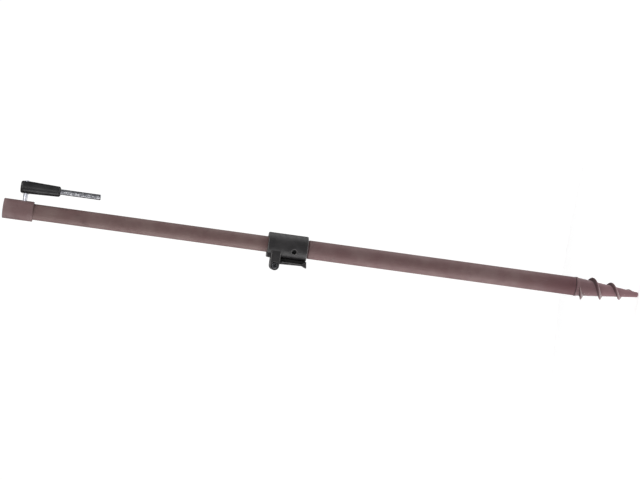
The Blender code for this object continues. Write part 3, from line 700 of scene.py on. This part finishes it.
def make_handle_grip():
    """The grip: tapered, with a fine groove under its round top, faint parting lines and a bevelled foot."""
    low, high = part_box("handle_grip")
    bar_low, bar_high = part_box("handle_bar")
    top_r = (high.x - low.x) / 2
    bore = (bar_high.x - bar_low.x) / 2 + 0.3 * MM
    groove_z = high.z - 3.4 * MM
    groove_depth = 0.28 * MM
    parting = 0.07 * MM
    taper_z = high.z - 9 * MM
    floor_z = bar_high.z + 0.3 * MM

    def mould(radius, angle, height):
        if radius < bore + 0.2 * MM:
            return radius
        seam = parting * math.exp(-((math.sin(angle) / 0.05) ** 2))
        ripple = 0.03 * MM * noise.noise(Vector((math.cos(angle), math.sin(angle), height * 120)))
        return radius - parting + seam + ripple

    top = [(0, high.z), (top_r - 0.5 * MM, high.z - 0.1 * MM), (top_r, groove_z)]
    foot = [
        (GRIP_FOOT_R + 0.04 * MM, low.z + 2.2 * MM),
        (GRIP_FOOT_R, low.z + 1.4 * MM),
        (GRIP_FOOT_R - 1.4 * MM, low.z),
        (bore, low.z),
    ]
    outline = rounded(top, [0, 2.6 * MM, 0], steps=10)
    outline += [(top_r - groove_depth, groove_z - z) for z in (0.25 * MM, 0.75 * MM)]
    outline += [(top_r - 0.02 * MM, groove_z - 1.0 * MM), (top_r - 0.03 * MM, taper_z)]
    for z in lengths(taper_z - 1 * MM, low.z + 2 * MM, 2 * MM):
        share = (taper_z - z) / (taper_z - low.z)
        outline.append((top_r + (GRIP_FOOT_R - top_r) * share, z))
    outline += rounded(foot, [0, 0.8 * MM, 0.7 * MM, 0])
    outline += [(bore, floor_z), (0, floor_z)]
    grip = revolved("handle_grip_moulded", outline, shape=mould)
    turn(grip, Matrix.Translation(((bar_low.x + bar_high.x) / 2, 0, 0)))

    head_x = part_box("handle_stud")[1].x - 1.3 * MM
    washer_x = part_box("stud_washer")[1].x + 0.1 * MM
    seat_length = 10 * MM
    hole = prism("grip_hole", GRIP_HOLE_R, 60 * MM, HOLE_SIDES)
    head_seat = prism("grip_head_seat", GRIP_HEAD_SEAT_R, seat_length, HOLE_SIDES)
    turn(head_seat, Matrix.Translation((0, 0, head_x)))
    washer_seat = prism("grip_washer_seat", GRIP_WASHER_SEAT_R, seat_length, HOLE_SIDES)
    turn(washer_seat, Matrix.Translation((0, 0, washer_x - seat_length)))
    cut(grip, along_stud(hole), along_stud(head_seat), along_stud(washer_seat))
    return finish(shade(grip, 40), GRIP_PLASTIC, ["handle_grip"])


def make_handle_bar():
    """The bar: plated rod whose surface is slightly uneven, with turned chamfers."""
    low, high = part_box("handle_bar")
    radius = (high.x - low.x) / 2
    wave = 0.045 * MM

    def uneven(r, angle, height):
        if r < radius - 1e-6:
            return r
        at = Vector((2.2 * math.cos(angle), 2.2 * math.sin(angle), height * 420))
        return r - wave + wave * noise.noise(at)

    outline = [(0, high.z), (radius - 0.4 * MM, high.z), (radius, high.z - 0.4 * MM)]
    outline += [(radius, z) for z in lengths(high.z - 1 * MM, low.z + 0.8 * MM, 0.5 * MM)]
    outline += [(radius - 0.55 * MM, low.z + 0.08 * MM), (radius - 0.8 * MM, low.z), (0, low.z)]
    bar = revolved("handle_bar_plated", outline, sides=SMALL_SIDES, shape=uneven)
    turn(bar, Matrix.Translation(((low.x + high.x) / 2, 0, 0)))
    return finish(shade(bar), ZINC_LONG, ["handle_bar"])


# ---------------------------------------------------------------- clamp


def make_clamp_housing():
    """The housing: a finely remeshed copy of its solid, with soft moulded edges."""
    housing = copy_of("clamp_housing_moulded", "clamp_housing")
    softened(housing, voxel=0.3 * MM, passes=5)
    return finish(housing, CLAMP_PLASTIC, ["clamp_housing"])


def make_cam_lever():
    """The lever: a finely remeshed copy of its solid, with a groove cut down each side of the paddle."""
    side_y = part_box("cam_lever")[1].y
    lever = copy_of("cam_lever_moulded", "cam_lever")
    pivot = Vector(next(j for j in frame["joints"] if j["name"] == "lever_swing")["pos_m"])
    near_x, far_x = pivot.x + 4.25 * MM, pivot.x + 5.25 * MM
    foot_z, top_z = pivot.z - 32 * MM, pivot.z - 9 * MM
    depth = 0.7 * MM
    for side in (-side_y, side_y):
        cut(lever, block("side_groove", (near_x, side - depth, foot_z), (far_x, side + depth, top_z)))
    softened(lever, voxel=0.28 * MM, passes=5)
    return finish(lever, LEVER_PLASTIC, ["cam_lever"])


def make_brake_pad():
    pad = softened(copy_of("brake_pad_moulded", "brake_pad"), voxel=0.25 * MM, passes=4)
    return finish(pad, PLAIN_NYLON, ["brake_pad"])


def make_glide_bush():
    """The bush: a plug in the inner tube's foot and a flange below it, which the rolled groove stops."""
    low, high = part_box("glide_bush")
    flange_r = high.x
    flange_z = low.z + BUSH_FLANGE
    outline = ring_rounded(
        [
            (PLUG_R, high.z),
            (PLUG_R, flange_z),
            (flange_r, flange_z),
            (flange_r, low.z),
            (BUSH_BORE_R, low.z),
            (BUSH_BORE_R, high.z),
        ],
        [0.8 * MM, 0.1 * MM, 0.3 * MM, 0.8 * MM, 0.5 * MM, 0.5 * MM],
    )
    bush = revolved("glide_bush_moulded", outline, sides=MEDIUM_SIDES, ring=True)
    return finish(shade(bush), PLAIN_NYLON, ["glide_bush"])


def radial(side, height):
    """Turns a piece's Z outwards along a grub screw's hole, from the pole's axis."""
    turned = Matrix.Rotation(side * GRUB_ANGLE, 4, "Z") @ Matrix.Rotation(-side * math.pi / 2, 4, "X")
    return Matrix.Translation((0, 0, height)) @ turned


def make_grub_screws():
    """Two grub screws, each with a hexagonal key socket."""
    for side, word in ((-1, "front"), (1, "back")):
        node = f"grub_screw_{word}"
        low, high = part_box(node)
        height = (low.z + high.z) / 2
        radius = (high.z - low.z) / 2
        outline = rounded(
            [
                (0, GRUB_OUTER - 0.1 * MM),
                (radius - 0.5 * MM, GRUB_OUTER),
                (radius, GRUB_OUTER - 0.45 * MM),
                (radius, GRUB_INNER + 0.3 * MM),
                (radius - 0.4 * MM, GRUB_INNER),
                (0, GRUB_INNER),
            ],
            [0, 0.15 * MM, 0.15 * MM, 0.1 * MM, 0.1 * MM, 0],
            steps=3,
        )
        screw = revolved(f"{node}_blackened", outline, sides=SMALL_SIDES)
        key = prism("key", GRUB_KEY_R, 5 * MM, sides=6)
        cut(screw, turn(key, Matrix.Translation((0, 0, GRUB_OUTER - GRUB_KEY_DEPTH))))
        turn(screw, radial(side, height))
        finish(shade(screw, 30), BLACK_STEEL, [node])


def onto_pivot(obj, low, high):
    """Turns a piece's Z along the pivot's axis, to the middle of its CAD box."""
    place = Matrix.Translation(((low.x + high.x) / 2, 0, (low.z + high.z) / 2))
    return turn(obj, place @ Matrix.Rotation(-math.pi / 2, 4, "X"))


def recess_wing(turned_by):
    """A flat four-sided spike, one of the two that make the cross recess."""
    bm = bmesh.new()
    bmesh.ops.create_cone(
        bm, cap_ends=True, segments=4, radius1=1.0, radius2=RECESS_TAPER, depth=RECESS_LENGTH
    )
    bmesh.ops.rotate(bm, matrix=Matrix.Rotation(math.pi / 4, 3, "Z"), verts=bm.verts)
    bmesh.ops.scale(bm, vec=(RECESS_WIDTH, RECESS_THICK, 1), verts=bm.verts)
    bmesh.ops.rotate(bm, matrix=Matrix.Rotation(turned_by, 3, "Z"), verts=bm.verts)
    return mesh_object("recess_wing", bm)


def make_pivot_screw():
    """The pan-head screw, with a tapered cross recess and a threaded end at the nut."""
    low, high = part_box("pivot_screw")
    head_r = (high.x - low.x) / 2
    seat = low.y + SCREW_HEAD_DEPTH
    thread_y = high.y - SCREW_THREAD_LENGTH

    def thread(radius, angle, height):
        if abs(radius - SCREW_SHANK_R) > 1e-6 or height < thread_y:
            return radius
        phase = thread_phase(height, angle, SCREW_PITCH)
        return radius - SCREW_THREAD * abs(2 * phase - 1)

    outline = rounded(
        [
            (0, low.y),
            (head_r * 0.72, low.y + 0.15 * MM),
            (head_r, low.y + 1.15 * MM),
            (head_r, seat),
            (SCREW_SHANK_R, seat),
        ],
        [0, 1.0 * MM, 0.5 * MM, 0.1 * MM, 0],
        steps=6,
    )
    outline += [(SCREW_SHANK_R, y) for y in lengths(seat + 1 * MM, thread_y, 4 * MM)]
    thread_ys = lengths(thread_y, high.y - 0.3 * MM, SCREW_PITCH / THREAD_STEPS)
    outline += [(SCREW_SHANK_R, y) for y in thread_ys]
    outline += [(SCREW_SHANK_R - 0.4 * MM, high.y), (0, high.y)]
    screw = revolved("pivot_screw_blackened", outline, sides=SMALL_SIDES, shape=thread)
    for quarter_turn in (0, math.pi / 2):
        wing = recess_wing(quarter_turn + RECESS_TURN)
        cut(screw, turn(wing, Matrix.Translation((0, 0, low.y + RECESS_SHIFT))))
    onto_pivot(screw, low, high)
    return finish(shade(screw, 40), SCREW_STEEL, ["pivot_screw"])


def make_pivot_nut():
    """The nut: a hexagon whose corners are turned off on its outer face."""
    low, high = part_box("pivot_nut")
    corner = (high.z - low.z) / 2
    nut = prism("pivot_nut_blackened", corner, high.y - low.y, sides=6)
    turn(nut, Matrix.Translation((0, 0, low.y)))
    crown = [
        (0, high.y),
        (corner * 0.84, high.y),
        (corner * 1.12, high.y - 0.75 * MM),
        (corner * 1.12, low.y),
        (0, low.y),
    ]
    cut(nut, revolved("nut_crown", crown, sides=SMALL_SIDES), operation="INTERSECT")
    cut(nut, prism("nut_bore", NUT_BORE_R, 30 * MM, HOLE_SIDES))
    onto_pivot(nut, low, high)
    return finish(shade(nut, 30), BLACK_STEEL, ["pivot_nut"])


# ---------------------------------------------------------------- auger


def make_auger():
    """The point and its flight as one coated weldment: the remesh closes the seam into a weld fillet."""
    auger = copy_of("auger_point_coated", "auger_point", "auger_flight")
    softened(auger, voxel=0.3 * MM, passes=6)
    return finish(auger, COAT_POINT, ["auger_point", "auger_flight"])


# ---------------------------------------------------------------- studio

# Strengths of the studio's white: as the camera sees it, and as it lights the pole from in front and behind
WORLD_SEEN = 1.05
WORLD_FRONT = 0.37
WORLD_BACK = 0.08
WORLD_FRONT_Y = -0.6  # a direction's Y up to which the front's strength holds
WORLD_BACK_Y = 0.5  # and the one from which the back's does
FLOOR_R = 0.45
FLOOR_WHITE = rgb(0.94, 0.94, 0.94)
FLOOR_GLOW = 0.35

# Name, place, the point it faces, width, height (metres) and power (watts)
LIGHTS = (
    ("lower_softbox", (-0.84, -0.06, 0.20), (0, 0, 0.20), 1.1, 1.4, 12),
    ("upper_softbox", (0.5, 0.12, 0.20), (0, 0, 0.20), 0.6, 0.65, 1.7),
    ("head_softbox", (0.10, -1.2, 1.5), (0.02, 0, 0.66), 0.8, 0.8, 4),
    ("front_card", (0.05, -0.7, 0.72), (0.03, 0, 0.65), 0.2, 0.2, 0.36),
    ("top_softbox", (0.45, -0.15, 1.25), (0, 0, 0.66), 0.5, 0.5, 3),
    ("rim_card", (0, 1.6, 0.47), (0, 0, 0.38), 0.35, 1.2, 1.5),
    ("tip_softbox", (-0.15, -0.35, -0.75), (0, 0, -0.03), 0.3, 0.3, 2),
)


def make_camera():
    """Places the camera so that the pole lies across the picture, its tip down to the right."""
    head = Vector(
        (
            -math.cos(TILT) * math.cos(SLOPE),
            math.cos(TILT) * math.sin(SLOPE),
            math.sin(TILT),
        )
    )
    handle = Vector((math.sin(SLOPE), math.cos(SLOPE), 0))
    away = head.cross(handle)
    to_world = Matrix((handle, away, head)).to_4x4()
    aim = Vector((AIM_RIGHT, AIM_UP, -DISTANCE))
    place = Vector((0, 0, AIM_HEIGHT)) - to_world.to_3x3() @ aim
    data = bpy.data.cameras.new("camera")
    data.lens = LENS
    data.sensor_width = SENSOR
    data.clip_start = CLIP_START
    camera = bpy.data.objects.new("camera", data)
    camera.matrix_world = Matrix.Translation(place) @ to_world
    bpy.context.scene.collection.objects.link(camera)
    bpy.context.scene.camera = camera


def make_light(name, place, aim, width, height, power):
    data = bpy.data.lights.new(name, "AREA")
    data.shape = "RECTANGLE"
    data.size = width
    data.size_y = height
    data.energy = power
    light = bpy.data.objects.new(name, data)
    light.location = place
    direction = Vector(aim) - Vector(place)
    light.rotation_euler = direction.to_track_quat("-Z", "Y").to_euler()
    bpy.context.scene.collection.objects.link(light)


def make_world():
    """A studio that is plain white to the camera and dim all round, dimmest behind the pole."""
    world = bpy.data.worlds.new("studio")
    world.use_nodes = True
    bpy.context.scene.world = world
    tree = world.node_tree
    output = tree.nodes["World Output"]
    lit = tree.nodes["Background"]
    seen = tree.nodes.new("ShaderNodeBackground")
    seen.inputs["Color"].default_value = (1, 1, 1, 1)
    seen.inputs["Strength"].default_value = WORLD_SEEN
    where = tree.nodes.new("ShaderNodeTexCoord")
    split = tree.nodes.new("ShaderNodeSeparateXYZ")
    tree.links.new(where.outputs["Generated"], split.inputs[0])
    ramp = tree.nodes.new("ShaderNodeMapRange")
    ramp.interpolation_type = "SMOOTHSTEP"
    ramp.inputs["From Min"].default_value = WORLD_FRONT_Y
    ramp.inputs["From Max"].default_value = WORLD_BACK_Y
    ramp.inputs["To Min"].default_value = WORLD_FRONT
    ramp.inputs["To Max"].default_value = WORLD_BACK
    tree.links.new(split.outputs["Y"], ramp.inputs["Value"])
    lit.inputs["Color"].default_value = (1, 1, 1, 1)
    tree.links.new(ramp.outputs["Result"], lit.inputs["Strength"])
    path = tree.nodes.new("ShaderNodeLightPath")
    mix = tree.nodes.new("ShaderNodeMixShader")
    tree.links.new(path.outputs["Is Camera Ray"], mix.inputs["Fac"])
    tree.links.new(lit.outputs["Background"], mix.inputs[1])
    tree.links.new(seen.outputs["Background"], mix.inputs[2])
    tree.links.new(mix.outputs["Shader"], output.inputs["Surface"])


def make_floor():
    low_z = CAD_BOX[0][2]
    bm = bmesh.new()
    bmesh.ops.create_circle(bm, cap_ends=True, segments=SIDES, radius=FLOOR_R)
    floor = mesh_object("floor", bm)
    floor.location = (0, 0, low_z - 0.5 * MM)
    floor.data.materials.append(plain_floor("pale_floor"))


make_camera()
make_world()
make_floor()
for light in LIGHTS:
    make_light(*light)
bpy.context.scene.view_settings.view_transform = "Standard"

make_outer_tube()
make_inner_tube()
make_head_collar()
make_head_insert()
make_handle_stud()
make_stud_washer()
make_handle_grip()
make_handle_bar()
make_clamp_housing()
make_cam_lever()
make_brake_pad()
make_glide_bush()
make_grub_screws()
make_pivot_screw()
make_pivot_nut()
make_auger()

bpy.context.view_layer.update()
